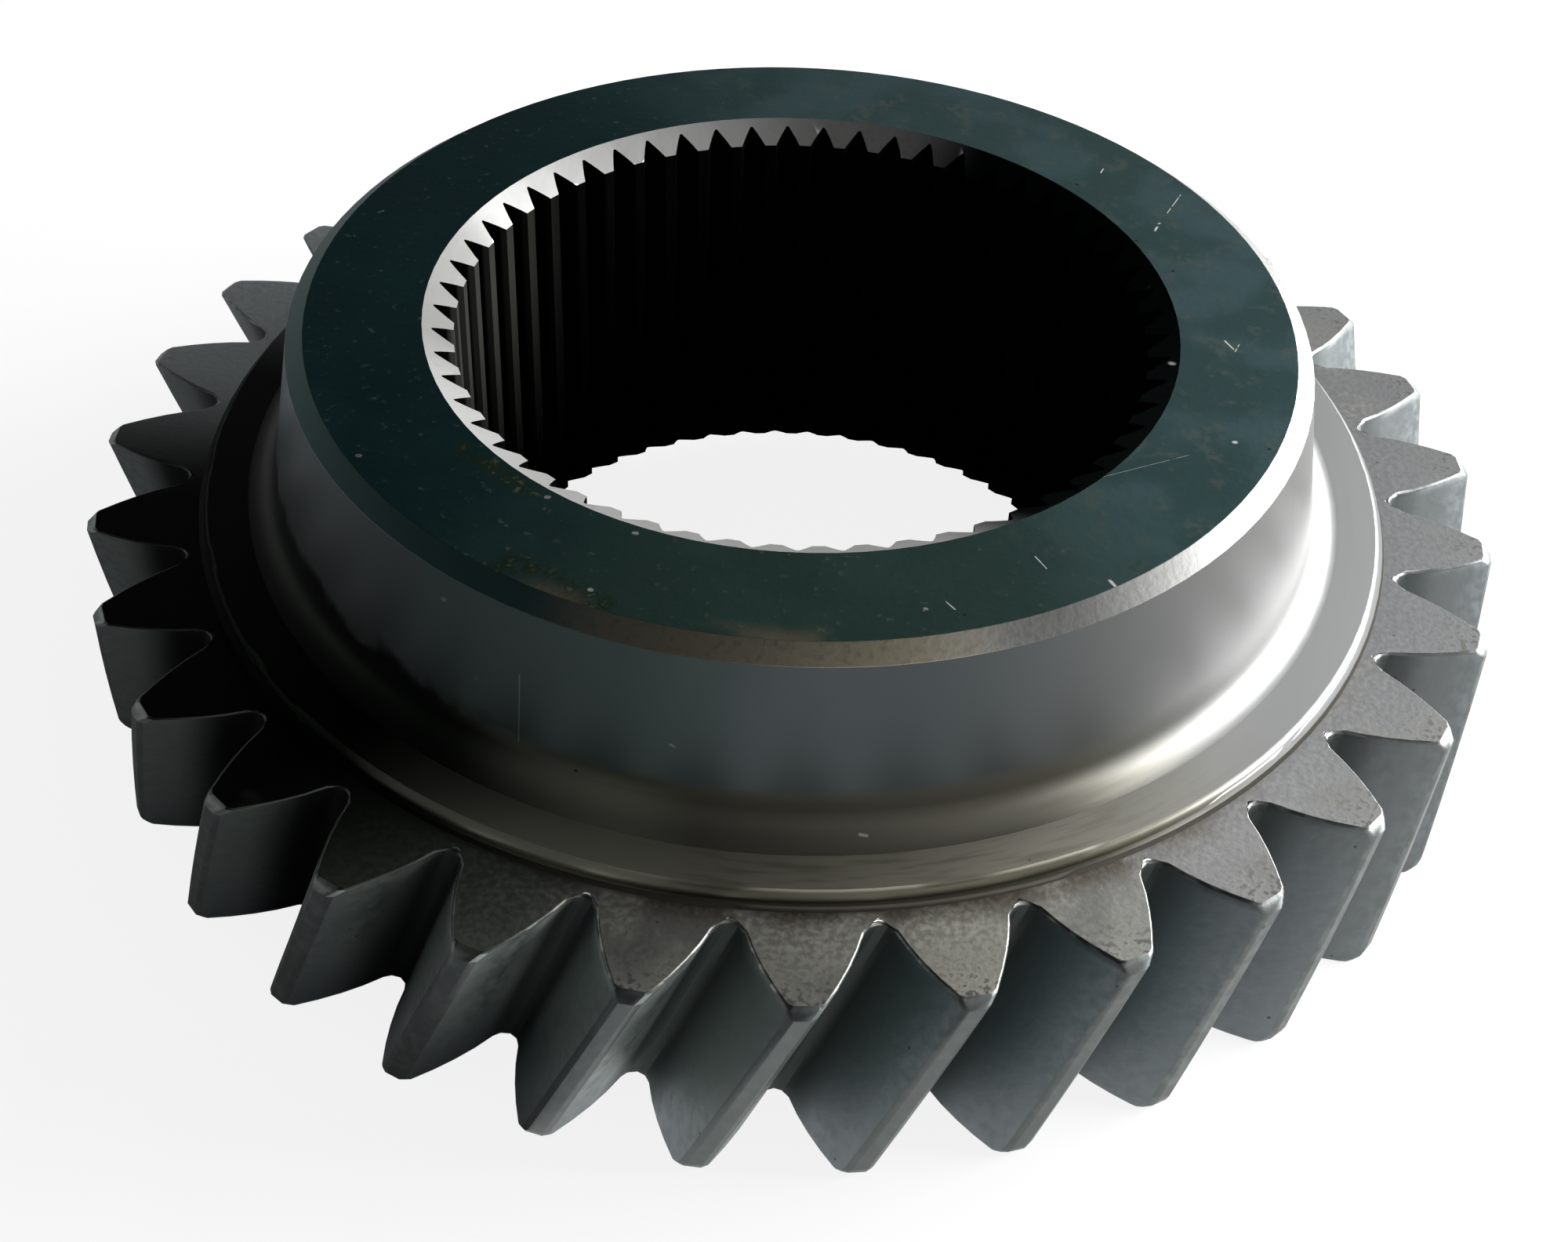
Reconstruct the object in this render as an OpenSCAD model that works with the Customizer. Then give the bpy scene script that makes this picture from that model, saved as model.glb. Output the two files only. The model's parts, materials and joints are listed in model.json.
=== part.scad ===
// Transmission gear: a helical toothed rim, a turned collar and a splined bore in one piece of steel.
// It is forged, turned, hobbed, broached, hardened and ground. All sizes are in millimetres.
// +Z is up the axis. The origin is on the axis, on the flat lower end face that the gear rests on.

/* [Teeth] */
// Number of teeth round the rim
gear_teeth = 31; // [30:1:32]
// Module of the teeth, measured square to the tooth
normal_module = 4; // [3.9:0.05:4.1]
// Helix angle at the pitch circle, right hand, in degrees
helix_angle = 21.5; // [20:0.5:23]
// Pressure angle, measured square to the tooth, in degrees
pressure_angle = 27; // [26:0.5:28]
// Profile shift, in modules
profile_shift = -0.13; // [-0.16:0.01:-0.1]
// Height of the teeth above the shifted pitch line, in modules
addendum = 1.03; // [0.98:0.01:1.06]
// Depth below the shifted pitch line where the flank runs into the round root, in modules
flank_depth = 1.1; // [1.06:0.01:1.14]
// Width of the toothed rim between its end faces
face_width = 22.3; // [20.3:0.5:25.3]
// Angle from +X to the middle of a tooth on the upper end face, in degrees
tooth_angle = 6.05; // [0:0.05:11.6]
// Bevel along both edges of each tooth tip
tip_edge = 0.35; // [0.25:0.05:0.5]
// Radial size of the bevel across the upper end of each tooth tip
end_bevel_w = 0.95; // [0.6:0.05:1.2]
// Height of the bevel across the upper end of each tooth tip
end_bevel_h = 0.8; // [0.5:0.1:1.2]
// Radius of the round across the lower end of each tooth tip
end_round = 1.3; // [1:0.1:1.6]
// Edge break along the whole tooth outline at both end faces
edge_break = 0.2; // [0.1:0.05:0.3]

/* [Collar] */
// Height of the collar above the toothed rim
collar_h = 19.6; // [16:0.2:24]
// Radius of the flat top face
collar_r = 47.5; // [46:0.25:48.5]
// Width of the bevel round the top face
collar_bevel_w = 1.75; // [1:0.25:2.25]
// Height of the bevel round the top face
collar_bevel_h = 1.3; // [0.8:0.1:2]
// Slope of the neck below the bevel, in degrees from the axis
neck_slope = 9.5; // [8:0.5:10.5]
// Radius of the cove at the foot of the neck
cove_r = 2.9; // [2.2:0.1:3.2]

/* [Shoulder] */
// Distance from the rim of the shoulder to the tooth roots
shoulder_margin = 2.55; // [2.45:0.05:2.85]
// Height of the shoulder above the toothed rim
shoulder_h = 1.55; // [1.3:0.05:2]
// Bevel on the rim of the shoulder
shoulder_bevel = 0.5; // [0.3:0.05:0.6]
// Width of the narrow step outside the shoulder
step_w = 0.45; // [0.3:0.05:0.6]
// Height of the narrow step above the toothed rim
step_h = 0.45; // [0.3:0.05:0.6]

/* [Bore] */
// Number of splines
spline_teeth = 57; // [56:1:58]
// Module of the splines
spline_module = 1.2; // [1.18:0.01:1.22]
// Pressure angle of the splines, in degrees
spline_pressure = 30; // [29:0.5:31]
// Depth of the grooves outside the spline pitch circle, in modules
groove_depth = 1.05; // [1:0.01:1.08]
// Height of the splines inside their pitch circle, in modules
spline_height = 0.62; // [0.5:0.02:0.7]
// Share of the spline pitch that is groove, at the pitch circle
groove_share = 0.467; // [0.455:0.003:0.485]
// How far the upper mouth opens beyond the grooves
mouth_w = 0.9; // [0.6:0.1:1.4]
// How far the lower mouth opens beyond the grooves
lower_mouth_w = 0.5; // [0.3:0.1:1]
// Slope of both mouths, in degrees from the end faces
mouth_slope = 30; // [26:1:40]

/* [Lower face] */
// Radius of the flat thrust face round the bore
thrust_r = 46; // [42:0.5:48]
// Distance from the shallow relief to the tooth roots
relief_margin = 3.6; // [3:0.2:4.6]
// Depth of the shallow relief between the thrust face and the rim
relief_depth = 0.8; // [0.4:0.1:1.2]

/* [Hidden] */
steel = [0.36, 0.38, 0.39];

// Points along a flank and along a root round, steps of the end round, and levels between the tooth ends
flank_points = 5;
root_points = 3;
end_steps = 3;
twist_levels = 5;

// The gear in the plane of rotation
flat_pressure = atan(tan(pressure_angle) / cos(helix_angle));
pitch_r = gear_teeth * normal_module / cos(helix_angle) / 2;
base_r = pitch_r * cos(flat_pressure);
tip_r = pitch_r + (addendum + profile_shift) * normal_module;
flank_r = pitch_r - (flank_depth - profile_shift) * normal_module;
tooth_step = 360 / gear_teeth;
turn_per_mm = tan(helix_angle) / pitch_r * 180 / PI;

// How far an involute has turned from the base circle where its pressure angle is a
function involute_turn(a) = tan(a) * 180 / PI - a;

// Half the angle that a tooth takes at the radius r
function tooth_half(r) =
    (90 + 360 / PI * profile_shift * tan(pressure_angle)) / gear_teeth
    + involute_turn(flat_pressure) - involute_turn(acos(base_r / r));

// The root is one full round, tangent to both flanks at flank_r
gap_half = tooth_step / 2 - tooth_half(flank_r);
flank_lean = gap_half + acos(base_r / flank_r);
round_r = flank_r * sin(gap_half) / cos(flank_lean);
round_centre = flank_r * cos(gap_half) + round_r * sin(flank_lean);
root_r = round_centre - round_r;

// One tooth and the root after it, as pairs of radius and angle from the tooth's middle. The outline shrinks
// into the tooth by inset, which leaves a smaller involute of the same base circle.
function inset_half(r, inset) = tooth_half(r) - inset / base_r * 180 / PI;
function flank_start(inset) = norm([base_r, sqrt(flank_r * flank_r - base_r * base_r) - inset]);
function flank_radius(k, tip, inset) =
    flank_start(inset) + (tip - tip_edge - flank_start(inset)) * k / (flank_points - 1);
function flank_point(k, tip, inset, side) =
    [flank_radius(k, tip, inset), side * inset_half(flank_radius(k, tip, inset), inset)];
function land_half(tip, inset) = inset_half(tip, inset) - tip_edge / tip * 180 / PI;
function round_turn(k) = (90 - flank_lean) * (2 * k / (root_points + 1) - 1);
function round_x(k, inset) = (round_r + inset) * sin(round_turn(k));
function round_y(k, inset) = round_centre - (round_r + inset) * cos(round_turn(k));
function tooth(tip, inset) = concat(
    [for (k = [0:flank_points - 1]) flank_point(k, tip, inset, -1)],
    [[tip, -land_half(tip, inset)], [tip, land_half(tip, inset)]],
    [for (k = [flank_points - 1:-1:0]) flank_point(k, tip, inset, 1)],
    [for (k = [1:root_points]) [norm([round_x(k, inset), round_y(k, inset)]),
        tooth_step / 2 + atan2(round_x(k, inset), round_y(k, inset))]]);
per_tooth = 2 * flank_points + 2 + root_points;
ring = gear_teeth * per_tooth;

// Each level is a height, the tip radius at it and how far the outline is inset at it
function end_angle(k) = 90 * k / end_steps;
levels = concat(
    [for (k = [0:end_steps - 1]) let (z = end_round * (1 - cos(end_angle(k))))
        [z, tip_r - end_round * (1 - sin(end_angle(k))), max(0, edge_break - z)]],
    [for (k = [0:twist_levels - 1])
        [end_round + (face_width - end_bevel_h - end_round) * k / (twist_levels - 1), tip_r, 0]],
    [[face_width - edge_break, tip_r - end_bevel_w * (1 - edge_break / end_bevel_h), 0]],
    [[face_width, tip_r - end_bevel_w, edge_break]]);

function polar(r, a, z) = [r * cos(a), r * sin(a), z];
function level_points(z, tip, inset) = [for (i = [0:gear_teeth - 1]) for (p = tooth(tip, inset))
    polar(p[0], p[1] + i * tooth_step + tooth_angle + (z - face_width) * turn_per_mm, z)];

// The end faces are laid from two many-sided lines inside the tooth roots. The web joins the inner one.
rim_line_margin = 0.4;
web_line_margin = 5.6;
rim_line_r = root_r - edge_break - rim_line_margin;
web_line_r = root_r - web_line_margin;
corners = 2 * gear_teeth;
function line_points(r, z) = [for (i = [0:corners - 1])
    polar(r, i * tooth_step / 2 + tooth_angle + (z - face_width) * turn_per_mm, z)];

top = len(levels) - 1;
low_rim = len(levels) * ring;
high_rim = low_rim + corners;
low_web = high_rim + corners;
high_web = low_web + corners;

// A band of triangle pairs between two closed lines of n points, seen from outside
function band(from, to, n) = [for (j = [0:n - 1]) for (half = [0, 1]) let (k = (j + 1) % n)
    half == 0 ? [from + j, to + j, to + k] : [from + j, to + k, from + k]];

// Triangles from the rim line to the outline of one end face, turned over for the upper one
function turned(f, over) = over ? [f[0], f[2], f[1]] : f;
function end_faces(first, line, over) = [
    for (i = [0:gear_teeth - 1])
        let (mid = line + 2 * i, gap = mid + 1, next = line + (2 * i + 2) % corners,
            start = i * per_tooth, last = start + 2 * flank_points + 1)
        for (f = concat(
            [for (j = [start:last - 1]) [mid, first + j, first + j + 1]],
            [for (j = [last:start + per_tooth - 1]) [gap, first + j, first + (j + 1) % ring]],
            [[mid, first + last, gap], [gap, first + (start + per_tooth) % ring, next]]))
            turned(f, over)];

module toothed_rim() {
    polyhedron(
        points = concat(
            [for (v = levels) each level_points(v[0], v[1], v[2])],
            line_points(rim_line_r, 0), line_points(rim_line_r, face_width),
            line_points(web_line_r, 0), line_points(web_line_r, face_width)),
        faces = concat(
            [for (v = [0:top - 1]) each band(v * ring, (v + 1) * ring, ring)],
            end_faces(0, low_rim, false),
            end_faces(top * ring, high_rim, true),
            band(low_web, low_rim, corners),
            band(high_rim, high_web, corners),
            band(high_web, low_web, corners)));
}

// The shallow relief turned into the lower face
relief_r = root_r - relief_margin;
past = 1;
module relief() {
    rotate_extrude($fn = 180)
        polygon([
            [thrust_r - past, -past], [relief_r + past, -past],
            [relief_r - relief_depth, relief_depth], [thrust_r + relief_depth, relief_depth]]);
}

// The hub and collar are one outline turned round the axis, from the lower face to the collar's top
shoulder_r = root_r - shoulder_margin;
neck_r = collar_r + collar_bevel_w;
cove_z = shoulder_h + cove_r;
cove_x = neck_r + (collar_h - collar_bevel_h - cove_z) * tan(neck_slope) + cove_r / cos(neck_slope);
cove_steps = 12;
foot_r = shoulder_r + shoulder_bevel + step_w + step_h;
under_r = (thrust_r + relief_r) / 2;
under_z = relief_depth / 2;

module hub() {
    rotate_extrude($fn = 180)
        polygon(concat(
            [[0, 0], [under_r, 0], [under_r, under_z], [foot_r, under_z]],
            [for (p = collar_outline()) [p[0], p[1] + face_width]]));
}

// The outline above the rim, its heights counted from the rim's upper face
function collar_outline() = concat(
    [[foot_r, -step_h], [foot_r - step_h, step_h]],
    [[shoulder_r + shoulder_bevel, step_h], [shoulder_r + shoulder_bevel, shoulder_h - shoulder_bevel]],
    [[shoulder_r, shoulder_h]],
    [for (k = [0:cove_steps]) let (a = (90 - neck_slope) * k / cove_steps)
        [cove_x - cove_r * sin(a), cove_z - cove_r * cos(a)]],
    [[neck_r, collar_h - collar_bevel_h], [collar_r, collar_h], [0, collar_h]]);

// The splines: internal involutes, given by the grooves between them
spline_pitch_r = spline_teeth * spline_module / 2;
spline_base_r = spline_pitch_r * cos(spline_pressure);
groove_r = spline_pitch_r + groove_depth * spline_module;
land_r = spline_pitch_r - spline_height * spline_module;
groove_points = 4;
function groove_half(r) = 180 / spline_teeth * groove_share
    + involute_turn(spline_pressure) - involute_turn(acos(spline_base_r / r));
function groove_radius(k) = land_r + (groove_r - land_r) * k / (groove_points - 1);
function groove() = concat(
    [for (k = [0:groove_points - 1]) [groove_radius(k), -groove_half(groove_radius(k))]],
    [for (k = [groove_points - 1:-1:0]) [groove_radius(k), groove_half(groove_radius(k))]]);

total_h = face_width + collar_h;

module splined_hole() {
    translate([0, 0, -past])
        linear_extrude(total_h + 2 * past)
            polygon([for (i = [0:spline_teeth - 1]) for (p = groove())
                let (a = p[1] + i * 360 / spline_teeth)
                [p[0] * cos(a), p[0] * sin(a)]]);
}

// A conical mouth that opens downwards at height 0, wider than the grooves by w
module mouth(w) {
    depth = (groove_r + w - land_r) * tan(mouth_slope);
    run = past / tan(mouth_slope);
    translate([0, 0, -past])
        cylinder(h = depth + 2 * past, r1 = groove_r + w + run, r2 = land_r - run, $fn = 180);
}

module gear() {
    color(steel)
        difference() {
            union() {
                toothed_rim();
                hub();
            }
            splined_hole();
            mouth(lower_mouth_w);
            translate([0, 0, total_h])
                mirror([0, 0, 1])
                    mouth(mouth_w);
            relief();
        }
}

gear();
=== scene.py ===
import json
import math

import bpy
from mathutils import Matrix, Vector


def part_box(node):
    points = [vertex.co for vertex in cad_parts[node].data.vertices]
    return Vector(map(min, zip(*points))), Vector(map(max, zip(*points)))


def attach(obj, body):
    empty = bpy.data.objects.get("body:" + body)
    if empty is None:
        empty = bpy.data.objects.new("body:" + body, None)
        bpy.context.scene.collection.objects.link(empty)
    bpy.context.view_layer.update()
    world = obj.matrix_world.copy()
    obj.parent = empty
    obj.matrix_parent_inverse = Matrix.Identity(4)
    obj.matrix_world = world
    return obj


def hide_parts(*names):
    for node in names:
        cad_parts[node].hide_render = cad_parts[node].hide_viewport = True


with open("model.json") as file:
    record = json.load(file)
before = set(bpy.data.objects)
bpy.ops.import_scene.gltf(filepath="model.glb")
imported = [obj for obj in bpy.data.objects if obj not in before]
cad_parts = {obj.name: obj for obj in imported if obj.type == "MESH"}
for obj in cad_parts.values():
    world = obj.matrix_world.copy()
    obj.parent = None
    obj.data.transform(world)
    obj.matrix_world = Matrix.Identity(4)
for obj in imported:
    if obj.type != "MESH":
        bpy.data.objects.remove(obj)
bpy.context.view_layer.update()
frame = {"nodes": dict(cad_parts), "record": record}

# The gear blank. One forging of alloy steel, turned, hobbed and broached, then hardened and ground.
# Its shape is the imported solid's own, joined up into one closed surface. It is worked below, and the
# finish of each machined surface comes with that surface.
MM = 0.001
mounts = {mount["name"]: [value / MM for value in mount["pos_m"]] for mount in frame["record"]["mounts"]}
top_z = mounts["collar_face"][2]
face_z = 2 * mounts["teeth"][2]
tip_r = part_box("gear")[1].x / MM

bpy.ops.object.select_all(action="DESELECT")
steel_mesh = frame["nodes"]["gear"].data.copy()
steel_mesh.materials.clear()
gear = bpy.data.objects.new("gear_steel", steel_mesh)
bpy.context.scene.collection.objects.link(gear)
bpy.context.view_layer.objects.active = gear
gear.select_set(True)
bpy.ops.object.mode_set(mode="EDIT")
bpy.ops.mesh.select_all(action="SELECT")
bpy.ops.mesh.remove_doubles(threshold=0.002 * MM)
bpy.ops.object.mode_set(mode="OBJECT")


# The tooth flanks and roots. Hobbed and ground, then left to darken under oil: a smooth blue-grey skin
# with small pits, rubbed lighter towards the tips. Painted shade darkens the roots, near black on the
# left, and painted light and shade make the sides and the lower ends in front lighter or darker.
class Finish:
    """A finish of the steel: its colour, roughness and relief, built up layer by layer."""

    def __init__(self, name, colour, roughness):
        self.material = bpy.data.materials.new(name)
        self.material.use_nodes = True
        self.tree = self.material.node_tree
        self.shader = self.tree.nodes["Principled BSDF"]
        self.shader.inputs["Metallic"].default_value = 1
        self.colour, self.roughness, self.relief = (*colour, 1), roughness, None
        object_place = self.node("TexCoord").outputs["Object"]
        scaled = self.node("VectorMath", {0: object_place, "Scale": 1 / MM}, operation="SCALE")
        self.place = scaled.outputs["Vector"]
        flattened = self.node("VectorMath", {0: self.place, 1: (1, 1, 0)}, operation="MULTIPLY")
        flat = flattened.outputs["Vector"]
        self.radius = self.node("VectorMath", {0: flat}, operation="LENGTH").outputs["Value"]
        self.outwards = self.node("VectorMath", {0: flat}, operation="NORMALIZE").outputs["Vector"]
        self.height = self.node("SeparateXYZ", {0: self.place}).outputs["Z"]

    def node(self, kind, sockets=None, **settings):
        node = self.tree.nodes.new("ShaderNode" + kind)
        for name, value in settings.items():
            setattr(node, name, value)
        for socket, value in (sockets or {}).items():
            self.join(value, node.inputs[socket])
        return node

    def join(self, value, socket):
        if isinstance(value, bpy.types.NodeSocket):
            self.tree.links.new(value, socket)
        else:
            socket.default_value = value

    def number(self, operation, first, second):
        return self.node("Math", {0: first, 1: second}, operation=operation).outputs["Value"]

    def both(self, first, second):
        return self.number("MULTIPLY", first, second)

    def either(self, first, second):
        return self.number("MAXIMUM", first, second)

    def fade(self, value, start, end):
        """0 where the value is at start or before it, 1 from end on."""
        sockets = {"Value": value, "From Min": start, "From Max": end}
        return self.node("MapRange", sockets, interpolation_type="SMOOTHSTEP").outputs["Result"]

    def cloud(self, size, detail=2):
        """Soft noise with patches of about the size, in millimetres."""
        noise = self.node("TexNoise", {"Vector": self.place, "Scale": 1 / size, "Detail": detail})
        return noise.outputs["Fac"]

    def streaks(self, size, length):
        """Soft noise drawn out round the axis, as turning and wiping leave it. The length is in sizes."""
        sideways = self.number("DIVIDE", self.node("SeparateXYZ", {0: self.place}).outputs["X"], length)
        drawn = self.node("CombineXYZ", {"X": self.radius, "Y": self.height, "Z": sideways})
        noise = self.node("TexNoise", {"Vector": drawn.outputs["Vector"], "Scale": 1 / size, "Detail": 2})
        return noise.outputs["Fac"]

    def specks(self, spacing, radius, share):
        """Scattered specks: 1 inside them and 0 outside. The share is how many of the places hold one."""
        cells = self.node("TexVoronoi", {"Vector": self.place, "Scale": 1 / spacing})
        full_radius = 0.4 * radius
        inside = self.fade(cells.outputs["Distance"], radius / spacing, full_radius / spacing)
        drawn = self.node("SeparateColor", {0: cells.outputs["Color"]}).outputs[0]
        return self.both(inside, self.number("LESS_THAN", drawn, share))

    def side(self, azimuth, start, end):
        """1 on the side of the gear that looks along the azimuth, fading out by angle, all in degrees."""
        turn = math.radians(azimuth)
        sockets = {0: self.outwards, 1: (math.cos(turn), math.sin(turn), 0)}
        along = self.node("VectorMath", sockets, operation="DOT_PRODUCT").outputs["Value"]
        return self.fade(along, math.cos(math.radians(end)), math.cos(math.radians(start)))

    def mark(self, start, end, width):
        """A scratch or nick between two points of the surface, in millimetres."""
        start, end = Vector(start), Vector(end)
        length = (end - start).length
        along = (end - start) / length
        away = self.node("VectorMath", {0: self.place, 1: start}, operation="SUBTRACT").outputs["Vector"]
        run = self.node("VectorMath", {0: away, 1: along}, operation="DOT_PRODUCT").outputs["Value"]
        run = self.number("MINIMUM", self.number("MAXIMUM", run, 0), length)
        nearest = self.node("VectorMath", {0: along, "Scale": run}, operation="SCALE").outputs["Vector"]
        gap = self.node("VectorMath", {0: away, 1: nearest}, operation="DISTANCE").outputs["Value"]
        full_width = 0.3 * width
        return self.fade(gap, width, full_width)

    def marks(self, lines):
        """All the marks of a list, each with its start, end and width."""
        shares = [self.mark(*line) for line in lines]
        every = shares[0]
        for share in shares[1:]:
            every = self.either(every, share)
        return every

    def paint(self, share, colour):
        """The colour goes over what is there, where the share is 1."""
        sockets = {0: share, 6: self.colour, 7: (*colour, 1)}
        self.colour = self.node("Mix", sockets, data_type="RGBA").outputs[2]

    def paint_light_and_shade_sides(self, *sides):
        """Painted light and shade by side. Each side has its azimuth, the angles where its colour fades
        out, and the colour.
        """
        for azimuth, start, end, colour in sides:
            self.paint(self.side(azimuth, start, end), colour)

    def rub(self, share, roughness):
        """The roughness takes over where the share is 1."""
        self.roughness = self.node("Mix", {0: share, 2: self.roughness, 3: roughness}).outputs[0]

    def emboss(self, value, depth):
        """The value stands out by the depth, in millimetres, or sinks in where the depth is negative."""
        raised = self.both(value, depth)
        self.relief = raised if self.relief is None else self.number("ADD", self.relief, raised)

    def glance(self, share):
        """How much of the light comes back at a glancing angle. An oil film takes some of it."""
        self.shader.inputs["Specular Tint"].default_value = (share, share, share, 1)

    def done(self):
        self.join(self.colour, self.shader.inputs["Base Color"])
        self.join(self.roughness, self.shader.inputs["Roughness"])
        if self.relief is not None:
            bump = self.node("Bump", {"Height": self.relief, "Distance": MM})
            self.join(bump.outputs["Normal"], self.shader.inputs["Normal"])
        return self.material


def finish_faces(finish, belongs):
    """Faces take the finish where belongs(radius, height, up, out) is true of their middle and slope."""
    gear.data.materials.append(finish.done())
    for face in gear.data.polygons:
        x, y, z = face.center / MM
        radius = math.hypot(x, y)
        outwards = (face.normal.x * x + face.normal.y * y) / radius
        if belongs(radius, z, face.normal.z, outwards):
            face.material_index = len(gear.data.materials) - 1


flank = Finish("hobbed_flank", (0.155, 0.184, 0.195), 0.45)
skin = flank.cloud(1.1)
flank.paint(flank.fade(flank.cloud(8, 1), 0.42, 0.68), (0.19, 0.221, 0.23))
# Painted light and shade: the sides are lighter or darker for how the lamp falls on them.
flank.paint_light_and_shade_sides(
    (-78, 10, 30, (0.112, 0.142, 0.145)),
    (-138, 30, 62, (0.23, 0.265, 0.235)),
    (-113, 9, 21, (0.3, 0.345, 0.325)),
    (170, 14, 30, (0.3, 0.33, 0.325)),
    (-5, 22, 62, (0.152, 0.164, 0.166)))
# Painted light: the lower ends are lighter in front.
painted_lower_end_light = flank.both(flank.fade(flank.height, 12, 1), flank.side(-98, 36, 62))
flank.paint(painted_lower_end_light, (0.195, 0.22, 0.23))
# Painted shade: darker down in the roots, near black on the shaded left.
roots = flank.fade(flank.radius, 65, 61)
flank.paint(roots, (0.085, 0.1, 0.096))
painted_left_root_shadow = flank.both(flank.fade(flank.radius, 67.5, 63), flank.side(-152, 22, 42))
flank.paint(painted_left_root_shadow, (0.02, 0.024, 0.02))
rubbed_tips = flank.both(flank.fade(flank.radius, 66, 70), flank.fade(skin, 0.3, 0.75))
flank.paint(rubbed_tips, (0.205, 0.228, 0.232))
flank.paint(flank.specks(2.4, 0.2, 0.35), (0.06, 0.07, 0.07))
flank.rub(flank.fade(skin, 0.35, 0.7), 0.54)
dull_roots = flank.fade(flank.radius, 66, 62.5)
flank.rub(dull_roots, 0.72)
flank.emboss(skin, 0.03)
finish_faces(flank, lambda radius, z, up, out: True)

# The end faces. The rim's upper face is ground flat, with a fine grain and small pits that crowd towards
# the tooth tips. Brown oil has dried along the foot of the shoulder. Painted light and shade make the
# sides lighter or darker, and on the left the face is painted near black: black oil and painted shadow of
# the collar together. The lower face, which the gear rests on, is ground the same way and clean.
oil_and_shadow_azimuth = -152
rim_inner_r = 56
level = 0.97
end = Finish("ground_end_face", (0.25, 0.253, 0.25), 0.44)
grit = end.cloud(0.6, 3)
patches = end.cloud(6)
# Painted shade on the right and painted light, in a brown tone, in front.
end.paint_light_and_shade_sides(
    (0, 10, 55, (0.17, 0.173, 0.175)),
    (-90, 12, 36, (0.36, 0.355, 0.315)))
end.paint(end.both(end.fade(patches, 0.5, 0.68), end.fade(grit, 0.3, 0.6)), (0.2, 0.198, 0.188))
tip_dirt = end.both(end.fade(end.radius, 62, 70), end.fade(grit, 0.5, 0.64))
end.paint(tip_dirt, (0.1, 0.098, 0.09))
end.paint(end.specks(2.3, 0.2, 0.4), (0.1, 0.095, 0.09))
foot_oil = end.both(end.fade(end.radius, 62.5, 59.5), end.side(-100, 30, 65))
end.paint(end.both(foot_oil, end.fade(patches, 0.3, 0.6)), (0.14, 0.125, 0.1))
# Painted shade, tinted green, at the front left and painted light at the left rear.
end.paint_light_and_shade_sides(
    (-126, 12, 26, (0.14, 0.158, 0.13)),
    (158, 14, 36, (0.34, 0.37, 0.375)))
# Near black on the left: black oil and painted shadow of the collar together.
oil_and_collar_shadow = end.both(end.side(oil_and_shadow_azimuth, 18, 40), end.fade(patches, 0.05, 0.3))
end.paint(oil_and_collar_shadow, (0.004, 0.006, 0.004))
end.rub(end.fade(grit, 0.35, 0.7), 0.54)
end.emboss(grit, 0.02)
end.glance(0.6)
finish_faces(end, lambda radius, z, up, out: radius > rim_inner_r and abs(z - face_z) < 1 and up > level)

lower = Finish("ground_lower_face", (0.25, 0.253, 0.25), 0.44)
lower_grit = lower.cloud(0.6, 3)
lower.paint(lower.fade(lower_grit, 0.5, 0.75), (0.2, 0.2, 0.195))
lower.emboss(lower_grit, 0.02)
finish_faces(lower, lambda radius, z, up, out: z < 1 and up < -level)

# The worn edges of the teeth: the break round the upper end face, rubbed bright in handling, and the tip
# lands, their edges and the bevels across the tooth ends, rubbed to a spotted grey.
break_h = 0.21
end_bevel_h = 0.85
tooth_inner_r = 60.4
land_depth = 0.45
bevel_depth = 0.9
upright = 0.4
worn = Finish("worn_edge", (0.34, 0.34, 0.33), 0.4)
rubbed = worn.cloud(2)
worn.paint(worn.fade(rubbed, 0.38, 0.52), (0.12, 0.128, 0.125))
# Painted shade on the right, and on the left painted shadow with black oil.
worn.paint_light_and_shade_sides(
    (0, 25, 60, (0.12, 0.125, 0.125)),
    (oil_and_shadow_azimuth, 30, 60, (0.05, 0.055, 0.05)))
worn.emboss(rubbed, 0.08)
finish_faces(worn, lambda radius, z, up, out: (
    radius > tooth_inner_r and z > face_z - break_h and upright < up < level))

tips = Finish("tooth_tip", (0.155, 0.17, 0.165), 0.46)
land = tips.cloud(1.4)
tips.paint(tips.fade(land, 0.42, 0.66), (0.2, 0.215, 0.21))
# Painted shade: the tips are darker in front.
front_tip_shade = tips.both(tips.side(-86, 14, 26), 0.7)
tips.paint(front_tip_shade, (0.125, 0.14, 0.138))
tips.paint(tips.specks(2.6, 0.25, 0.3), (0.08, 0.08, 0.08))
tips.emboss(land, 0.05)
finish_faces(tips, lambda radius, z, up, out: (
    radius > tip_r - land_depth and out > 0.5 and abs(up) < upright))
finish_faces(tips, lambda radius, z, up, out: (
    radius > tip_r - bevel_depth and z > face_z - end_bevel_h and upright < up < 0.9))

# The collar's top face. Hard-turned and blued dark by heat and oil, with nicks and short scratches
# that show bright steel, and greenish grime dried on towards the front left.
bright_steel = (0.6, 0.6, 0.58)
bright_roughness = 0.25
mouth_scratch = ((34.1, -3.6), (35.6, -5.4))
scratches = [
    ((35.3, 17.6), (36.0, 19.4), 0.16), ((36.6, 20.6), (38.5, 24.8), 0.07), (*mouth_scratch, 0.16),
    ((27.4, -37.7), (28.1, -38.9), 0.2), ((40.6, -1.4), (41.3, -2.7), 0.12),
    ((41.4, -3.1), (41.9, -1.9), 0.07), ((21.2, -35.1), (22.1, -36.6), 0.07),
    ((24.3, -25.2), (35.8, -19.6), 0.02), ((13.4, -41.4), (14.3, -42.5), 0.07),
    ((-43.3, 13.0), (-42.8, 13.4), 0.1), ((30.4, 28.4), (30.7, 29.2), 0.1)]
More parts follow.
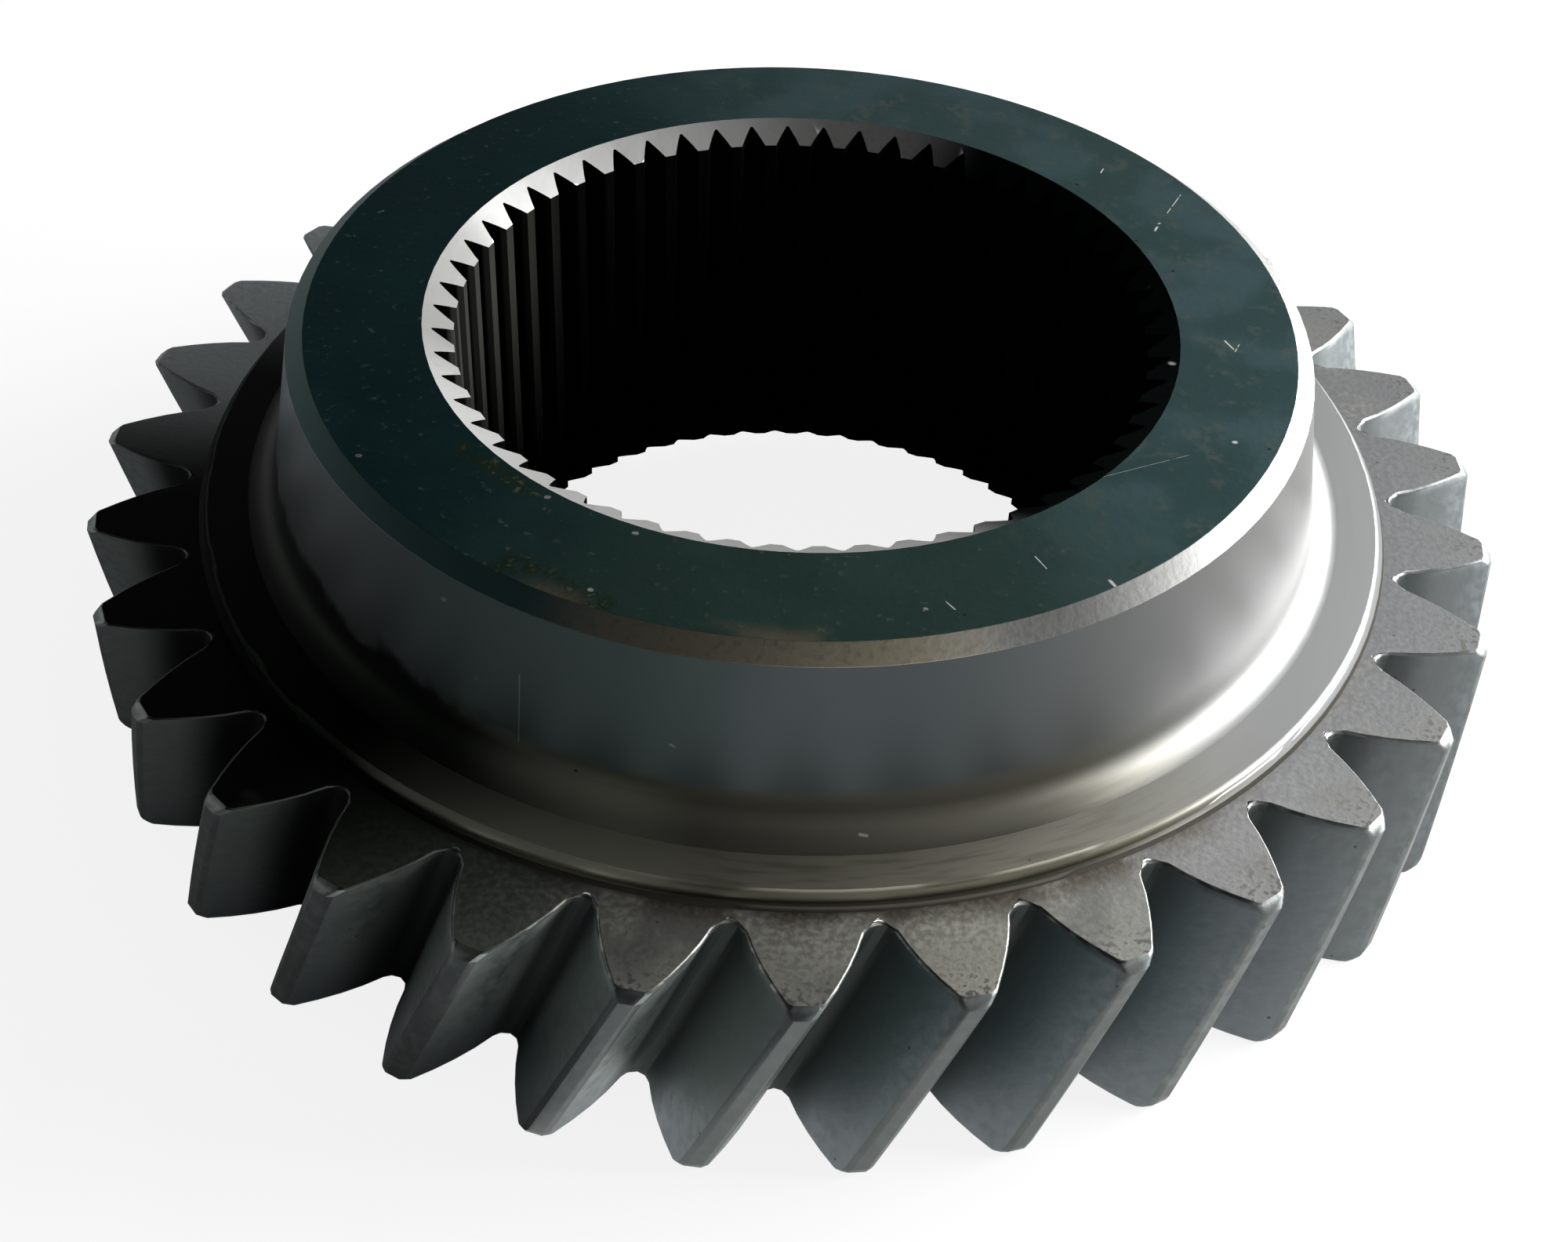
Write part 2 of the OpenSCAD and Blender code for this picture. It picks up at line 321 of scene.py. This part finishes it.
flecks = [
    (-16.0, -42.6), (-38.2, -26.5), (-21.0, -30.8), (-13.0, -35.0), (11.7, -42.7), (24.9, -40.9),
    (39.9, -17.4)]
fleck_length = 0.15
fleck_width = 0.28
grime_patches = [((-16.1, -45), (-22.7, -41), 3.6), ((-29.5, -24.5), (-22.6, -30.2), 1.5)]


def on_top(start, end, width):
    """A mark on the top face, between two points that are given without their height."""
    return (*start, top_z), (*end, top_z), width


top = Finish("collar_top", (0.025, 0.051, 0.052), 0.5)
top_grain = top.cloud(0.8, 3)
top_patches = top.cloud(9)
top.paint(top.fade(top_patches, 0.42, 0.62), (0.035, 0.064, 0.069))
small_patches = top.fade(top.cloud(3.5), 0.5, 0.66)
rough_grain = top.fade(top_grain, 0.4, 0.6)
top.paint(top.both(small_patches, rough_grain), (0.047, 0.068, 0.064))
# Painted shade: darker in front and darkest on the left.
top.paint_light_and_shade_sides(
    (-95, 10, 60, (0.019, 0.04, 0.034)),
    (175, 42, 85, (0.004, 0.021, 0.023)))
top.paint(top.fade(top_grain, 0.62, 0.8), (0.05, 0.07, 0.07))
top.paint(top.specks(3, 0.25, 0.4), (0.01, 0.017, 0.016))
grime = top.marks([on_top(*patch) for patch in grime_patches])
top.paint(top.both(grime, rough_grain), (0.012, 0.022, 0.01))
top.paint(top.both(grime, top.fade(top_grain, 0.6, 0.7)), (0.055, 0.067, 0.053))
browned = top.both(top.fade(top.radius, 45.2, 47.4), top.fade(top_patches, 0.45, 0.6))
top.paint(top.both(browned, top.side(-100, 8, 20)), (0.08, 0.07, 0.05))
bright_marks = scratches + [((x, y), (x + fleck_length, y), fleck_width) for x, y in flecks]
wear = top.marks([on_top(*line) for line in bright_marks])
wear = top.both(wear, top.fade(top_grain, 0.36, 0.5))
top.rub(top.fade(top_patches, 0.35, 0.7), 0.6)
top.paint(wear, bright_steel)
top.rub(wear, bright_roughness)
top.emboss(top_grain, 0.02)
top.glance(0.7)
finish_faces(top, lambda radius, z, up, out: z > top_z - 0.1 and up > 0.9)

# The bevel round the top face. Turned bright and browner in front. Painted shade darkens it at the front
# right, and on the left, in the dark tone of the top.
bevel_h = 1.3
collar_inner_r = 44
rim = Finish("collar_bevel", (0.3, 0.3, 0.29), 0.38)
rim_grain = rim.cloud(0.7, 3)
rim_spots = rim.fade(rim_grain, 0.5, 0.75)
rim.paint(rim_spots, (0.2, 0.2, 0.19))
# Painted shade at the front right.
rim.paint(rim.side(-52, 5, 23), (0.078, 0.078, 0.076))
# Browner in front.
brown_front_rim = rim.side(-92, 12, 26)
rim.paint(brown_front_rim, (0.33, 0.3, 0.225))
rim.paint(rim.both(brown_front_rim, rim_spots), (0.24, 0.225, 0.18))
# Painted shade on the left, in the dark tone of the top.
painted_left_shade = rim.side(-165, 48, 62)
rim.paint(painted_left_shade, (0.042, 0.083, 0.08))
rim.rub(painted_left_shade, 0.55)
rim.emboss(rim_grain, 0.02)
finish_faces(rim, lambda radius, z, up, out: (
    radius > collar_inner_r and z > top_z - bevel_h and 0.3 < up < 0.9))

# The neck and the cove at its foot. Turned to a fine satin and wiped with oil, with a few knocks. Painted
# light makes the sides lighter and the cove lighter and brown in front, and painted shade dulls the cove's
# bright lines in front. At the left the cove is painted black, part dried oil and part painted shadow.
knocks = [
    ((-28.8, -40.5, 38.0), (-28.6, -40.6, 38.1), 0.3), ((-21.8, -45.3, 34.3), (-22.0, -46.5, 27.6), 0.1),
    ((-25.9, -43.6, 32), (-25.2, -44.4, 31), 0.12), ((-8.7, -50.0, 31.7), (-8.4, -50.1, 31.6), 0.2),
    ((7.6, -52.2, 24.5), (8.2, -52.2, 24.4), 0.2)]
shoulder_h = 1.55
shoulder_grey = (0.27, 0.273, 0.273)
shoulder_brown = (0.335, 0.322, 0.262)
black_oil_and_shadow = (0.006, 0.009, 0.006)
painted_light_side = (-97, 14, 60)
neck = Finish("turned_neck", (0.068, 0.08, 0.083), 0.38)
wiped = neck.streaks(1.1, 9)
neck_patches = neck.cloud(4)
painted_light_front = neck.side(*painted_light_side)
cove = neck.fade(neck.height, face_z + 6.3, face_z + 4.5)
cove_foot = neck.fade(neck.height, face_z + 3.8, face_z + shoulder_h)
cove_line_shade = neck.fade(neck.height, face_z + 2.7, face_z + 2)
off_shoulder = neck.fade(neck.height, face_z + 1.56, face_z + 1.95)
# Painted light at the front left, the left and the right.
neck.paint_light_and_shade_sides(
    (-113, 8, 22, (0.085, 0.112, 0.106)),
    (175, 25, 65, (0.16, 0.18, 0.18)),
    (-5, 10, 73, (0.193, 0.191, 0.187)))
# Painted light in front, in a brown tone, on the cove and its foot.
neck.paint(neck.both(cove, painted_light_front), (0.105, 0.1, 0.078))
neck.paint(cove_foot, shoulder_grey)
neck.paint(neck.both(cove_foot, painted_light_front), shoulder_brown)
wiped_foot = neck.both(cove_foot, neck.fade(wiped, 0.45, 0.7))
neck.paint(neck.both(wiped_foot, painted_light_front), (0.21, 0.2, 0.16))
# Painted shade over the cove's bright reflections in front.
front_shade = neck.both(neck.both(off_shoulder, cove), neck.side(-85, 14, 34))
neck.paint(front_shade, (0.08, 0.077, 0.063))
neck.paint(neck.both(cove_line_shade, neck.side(-85, 16, 34)), (0.07, 0.068, 0.056))
# Painted light on the cove at the front left.
painted_cove_light = neck.both(neck.fade(neck.height, face_z + 5.5, face_z + 4), neck.side(-114, 6, 18))
neck.paint(painted_cove_light, (0.17, 0.175, 0.14))
# Black on the left, part dried oil and part painted shadow, on the neck and over the cove.
dark_patch_edge = neck.number("ADD", neck.height, neck.both(neck_patches, 5))
oil_and_shadow_stain = neck.both(neck.side(-152, 24, 38), neck.fade(dark_patch_edge, face_z + 9.5, face_z + 7.5))
neck.paint(oil_and_shadow_stain, black_oil_and_shadow)
black_cove_oil_and_shadow = neck.both(neck.side(-170, 42, 64), neck.fade(neck.height, face_z + 5.6, face_z + 4.2))
neck.paint(black_cove_oil_and_shadow, black_oil_and_shadow)
neck.paint(neck.specks(6, 0.28, 0.3), (0.03, 0.032, 0.03))
neck.paint(neck.marks(knocks), (0.22, 0.23, 0.225))
neck.rub(neck.fade(neck.height, face_z + 6, face_z + 2), 0.5)
neck.rub(neck.both(cove, neck.side(-88, 30, 55)), 0.62)
neck.emboss(wiped, 0.008)
finish_faces(neck, lambda radius, z, up, out: (
    radius > collar_inner_r and face_z + 0.01 < z < top_z - bevel_h))

# The flat shoulder with its bevelled edge, turned with the collar. In front it is painted lighter and
# brown, painted light, with painted shade on the bevel; at the left it is painted near black, painted
# shade. Round its foot runs a narrow step, ground with the end face and painted dark, painted shade in the
# corner.
shoulder_inner_r = 50
shoulder_top = face_z + shoulder_h + 0.004
step_top = face_z + 0.5
step_inner_r = 57
step_outer_r = 60
shoulder = Finish("ground_shoulder", shoulder_grey, 0.44)
shoulder_grain = shoulder.streaks(0.7, 9)
# Painted light in front, in a brown tone.
painted_light_front = shoulder.side(*painted_light_side)
shoulder.paint(painted_light_front, shoulder_brown)
wiped_brown = shoulder.both(shoulder.fade(shoulder_grain, 0.45, 0.7), painted_light_front)
shoulder.paint(wiped_brown, (0.24, 0.23, 0.185))
# Painted shade on the bevel in front, over its reflection.
bevel_shade_share = shoulder.fade(shoulder.height, face_z + 1.5, face_z + 1.3)
shoulder.paint(shoulder.both(bevel_shade_share, shoulder.side(-97, 30, 60)), (0.12, 0.115, 0.088))
# Painted light at the front left and painted shade, near black, on the left.
shoulder.paint_light_and_shade_sides(
    (-114, 6, 20, (0.46, 0.45, 0.37)),
    (-160, 28, 50, (0.004, 0.006, 0.004)))
shoulder.paint(shoulder.specks(3.6, 0.24, 0.3), (0.1, 0.095, 0.09))
shoulder.emboss(shoulder_grain, 0.006)
shoulder.glance(0.65)
finish_faces(shoulder, lambda radius, z, up, out: (
    radius > shoulder_inner_r and step_top < z < shoulder_top and up > -0.5))

# Painted shade in the corner at the shoulder's foot, near black on the left.
step = Finish("shaded_step", (0.09, 0.082, 0.07), 0.5)
step.paint(step.side(-160, 34, 54), (0.008, 0.008, 0.007))
finish_faces(step, lambda radius, z, up, out: (
    step_inner_r < radius < step_outer_r and face_z + 0.01 < z < step_top and up < 0.5))

# The splined bore. Broached from end to end and painted black with no reflection, painted shade; the
# spline tips at the left get painted light that fades with depth. Its mouths are cones ground bright,
# which cut the ends of the splines to points, with painted light and shade by side.
bore_outer = 37.6
# Painted shade: black, with no reflection.
bore = Finish("broached_bore", (0.0015, 0.0015, 0.0015), 0.5)
spline_tips = bore.fade(bore.radius, 34.2, 33.8)
# Painted light on the spline tips at the left, fading with depth.
painted_lit_tips = bore.both(bore.side(178, 8, 42), spline_tips)
bore.paint(bore.both(painted_lit_tips, bore.fade(bore.height, 0, 38)), (0.022, 0.022, 0.02))
bore.shader.inputs["Metallic"].default_value = 0
bore.shader.inputs["Specular IOR Level"].default_value = 0
finish_faces(bore, lambda radius, z, up, out: radius < bore_outer and abs(up) < 0.3)

mouth = Finish("bore_mouth", (0.36, 0.36, 0.35), 0.4)
mouth_grain = mouth.cloud(0.8)
mouth.paint(mouth.fade(mouth_grain, 0.5, 0.75), (0.3, 0.3, 0.29))
# Painted light at the left rear and in front, and painted shade at the left and, near black, at the right.
mouth.paint_light_and_shade_sides(
    (130, 12, 44, (0.62, 0.62, 0.61)),
    (178, 5, 24, (0.3, 0.3, 0.29)),
    (-95, 42, 78, (0.75, 0.75, 0.74)),
    (3, 56, 72, (0.006, 0.009, 0.0085)))
nick_start, nick_end = [(*corner, top_z - 0.4) for corner in mouth_scratch]
mouth_nick = mouth.marks([(nick_start, nick_end, 0.3)])
mouth.paint(mouth_nick, bright_steel)
mouth.rub(mouth_nick, bright_roughness)
mouth.emboss(mouth_grain, 0.01)
mouth.glance(0.5)
finish_faces(mouth, lambda radius, z, up, out: (
    radius < bore_outer and abs(up) > 0.3 and 0.1 < z < top_z - 0.02))

# Every outer corner of the teeth and the collar is broken by a hair, and the flats keep their own flat
# light. The splines in the bore, the shoulder and its step stay sharp, and so do the borders of the
# bore's mouths, where the top face's light would run into the cones.
corner_round = 0.06
corner_angle = math.radians(35)
flat_angle = math.radians(0.3)
collar_edge_r = 50
teeth_r = 60
bpy.ops.object.mode_set(mode="EDIT")
bpy.ops.mesh.select_all(action="SELECT")
bpy.ops.mesh.dissolve_limited(angle_limit=flat_angle, delimit={"MATERIAL"})
bpy.ops.mesh.select_all(action="DESELECT")
bpy.ops.mesh.select_mode(type="EDGE")
bpy.ops.mesh.edges_select_sharp(sharpness=corner_angle)
bpy.ops.object.mode_set(mode="OBJECT")
bpy.ops.object.shade_smooth_by_angle(angle=corner_angle)
broken = gear.data.attributes.new("bevel_weight_edge", "FLOAT", "EDGE")
for edge in gear.data.edges:
    inner_end = min(gear.data.vertices[corner].co.xy.length for corner in edge.vertices) / MM
    if edge.select and (inner_end > teeth_r or bore_outer < inner_end < collar_edge_r):
        broken.data[edge.index].value = 1
bpy.ops.object.mode_set(mode="EDIT")
bpy.ops.mesh.select_mode(type="FACE")
bpy.ops.mesh.select_all(action="DESELECT")
gear.active_material_index = gear.data.materials.find("bore_mouth")
bpy.ops.object.material_slot_select()
bpy.ops.mesh.region_to_loop()
bpy.ops.mesh.mark_sharp()
bpy.ops.object.mode_set(mode="OBJECT")
rounds = gear.modifiers.new("corner_rounds", "BEVEL")
rounds.width = corner_round * MM
rounds.segments = 2
rounds.limit_method = "WEIGHT"
bpy.ops.object.modifier_apply(modifier=rounds.name)
flats = gear.modifiers.new("flat_light", "WEIGHTED_NORMAL")
flats.keep_sharp = True
flats.weight = 100
bpy.ops.object.modifier_apply(modifier=flats.name)
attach(gear, "root")
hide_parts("gear")

# The studio. A pale floor in a white surround, one soft lamp at the right, and dark cloths at the
# left and overhead that only the steel's reflections see, as it would see a dark room.
floor_size = 6
floor_white = (0.85, 0.85, 0.85, 1)
lit_floor_share = 0.15
room_white = (1, 1, 1, 1)
room_light = 0.35
bpy.ops.object.select_all(action="DESELECT")
bpy.ops.mesh.primitive_plane_add(size=floor_size, location=(0, 0, 0))
floor = bpy.context.object
floor.name = "floor"


def white_where_seen(tree, lit, white, lit_share):
    """White where the surround is seen, with lit_share of the lit surface left in it for the shadow."""
    path = tree.nodes.new("ShaderNodeLightPath")
    seen = path.outputs["Is Camera Ray"]
    for ray in ("Is Glossy Ray", "Is Transmission Ray"):
        most = tree.nodes.new("ShaderNodeMath")
        most.operation = "MAXIMUM"
        tree.links.new(seen, most.inputs[0])
        tree.links.new(path.outputs[ray], most.inputs[1])
        seen = most.outputs["Value"]
    share = tree.nodes.new("ShaderNodeMath")
    share.operation = "MULTIPLY"
    share.inputs[1].default_value = 1 - lit_share
    tree.links.new(seen, share.inputs[0])
    mix = tree.nodes.new("ShaderNodeMixShader")
    tree.links.new(share.outputs["Value"], mix.inputs["Fac"])
    tree.links.new(lit, mix.inputs[1])
    tree.links.new(white, mix.inputs[2])
    return mix.outputs["Shader"]


pale = bpy.data.materials.new("pale_floor")
pale.use_nodes = True
tree = pale.node_tree
matt = tree.nodes["Principled BSDF"]
matt.inputs["Base Color"].default_value = floor_white
matt.inputs["Roughness"].default_value = 0.9
glow = tree.nodes.new("ShaderNodeEmission")
shown = white_where_seen(tree, matt.outputs["BSDF"], glow.outputs["Emission"], lit_floor_share)
tree.links.new(shown, tree.nodes["Material Output"].inputs["Surface"])
floor.data.materials.append(pale)

world = bpy.data.worlds.new("studio")
bpy.context.scene.world = world
world.use_nodes = True
tree = world.node_tree
dim = tree.nodes["Background"]
dim.inputs["Color"].default_value = room_white
dim.inputs["Strength"].default_value = room_light
white = tree.nodes.new("ShaderNodeBackground")
white.inputs["Color"].default_value = room_white
shown = white_where_seen(tree, dim.outputs["Background"], white.outputs["Background"], 0)
tree.links.new(shown, tree.nodes["World Output"].inputs["Surface"])


def dark_cloth(cloth, name, colour):
    """Stage cloth that only reflections see."""
    cloth.name = name
    cloth.visible_camera = False
    cloth.visible_diffuse = False
    cloth.visible_shadow = False
    cloth.visible_transmission = False
    cloth.visible_volume_scatter = False
    felt = bpy.data.materials.new(name)
    felt.use_nodes = True
    shader = felt.node_tree.nodes["Principled BSDF"]
    shader.inputs["Base Color"].default_value = (*colour, 1)
    shader.inputs["Roughness"].default_value = 1
    cloth.data.materials.append(felt)


# Angles round the studio are counted from +Y towards +X. The dark wall is a dome that is open over the
# whole right side up to a rise of 52 degrees, and low down behind the gear on the left.
wall_r = 0.9
wall_foot = math.radians(1)
wall_end = math.radians(-7)
window_from = math.radians(-110)
window_to = math.radians(-12)
window_top = math.radians(18)
ceiling_from = math.radians(52)
bpy.ops.mesh.primitive_uv_sphere_add(segments=72, ring_count=36, radius=wall_r, location=(0, 0, 0))
bpy.ops.object.mode_set(mode="EDIT")
bpy.ops.mesh.select_all(action="DESELECT")
bpy.ops.object.mode_set(mode="OBJECT")
for face in bpy.context.object.data.polygons:
    x, y, z = face.center
    rise = math.atan2(z, math.hypot(x, y))
    azimuth = math.atan2(x, y)
    in_window = rise < window_top and window_from < azimuth < window_to
    face.select = rise < wall_foot or in_window or (rise < ceiling_from and azimuth > wall_end)
bpy.ops.object.mode_set(mode="EDIT")
bpy.ops.mesh.delete(type="FACE")
bpy.ops.object.mode_set(mode="OBJECT")
dark_cloth(bpy.context.object, "dark_wall", (0.018, 0.02, 0.021))

sheet_edge = -0.02
sheet_size = 1.2
sheet_lift = 0.0003
bpy.ops.mesh.primitive_plane_add(size=sheet_size, location=(sheet_edge - sheet_size / 2, 0, sheet_lift))
dark_cloth(bpy.context.object, "dark_sheet", (0.35, 0.36, 0.37))

lamp_azimuth = math.radians(72)
lamp_rise = math.radians(24)
lamp_distance = 0.5
lamp_data = bpy.data.lights.new("right_lamp", "AREA")
lamp_data.shape = "RECTANGLE"
lamp_data.size = 0.46
lamp_data.size_y = 0.2
lamp_data.energy = 9
lamp_x = math.sin(lamp_azimuth) * math.cos(lamp_rise)
lamp_y = math.cos(lamp_azimuth) * math.cos(lamp_rise)
lamp_at = lamp_distance * Vector((lamp_x, lamp_y, math.sin(lamp_rise)))
lamp = bpy.data.objects.new("right_lamp", lamp_data)
lamp.location = lamp_at
lamp.rotation_euler = (-lamp_at).to_track_quat("-Z", "Y").to_euler()
lamp.visible_camera = False
bpy.context.scene.collection.objects.link(lamp)

# The camera. It stood close in front of the gear and looked down on it, tilted a little to one side.
camera_at = Vector((1.91, -187.75, 169.54)) * MM
camera_aim = Vector((-0.31, 0, 1.51)) * MM
camera_tilt = math.radians(2.786)
camera_data = bpy.data.cameras.new("camera")
camera_data.sensor_width = 36
camera_data.lens = 53.594
camera_data.clip_start = 0.01
camera = bpy.data.objects.new("camera", camera_data)
looking = (camera_aim - camera_at).to_track_quat("-Z", "Y").to_matrix().to_4x4()
camera.matrix_world = Matrix.Translation(camera_at) @ looking @ Matrix.Rotation(camera_tilt, 4, "Z")
bpy.context.scene.collection.objects.link(camera)
bpy.context.scene.camera = camera
bpy.context.scene.view_settings.view_transform = "Standard"
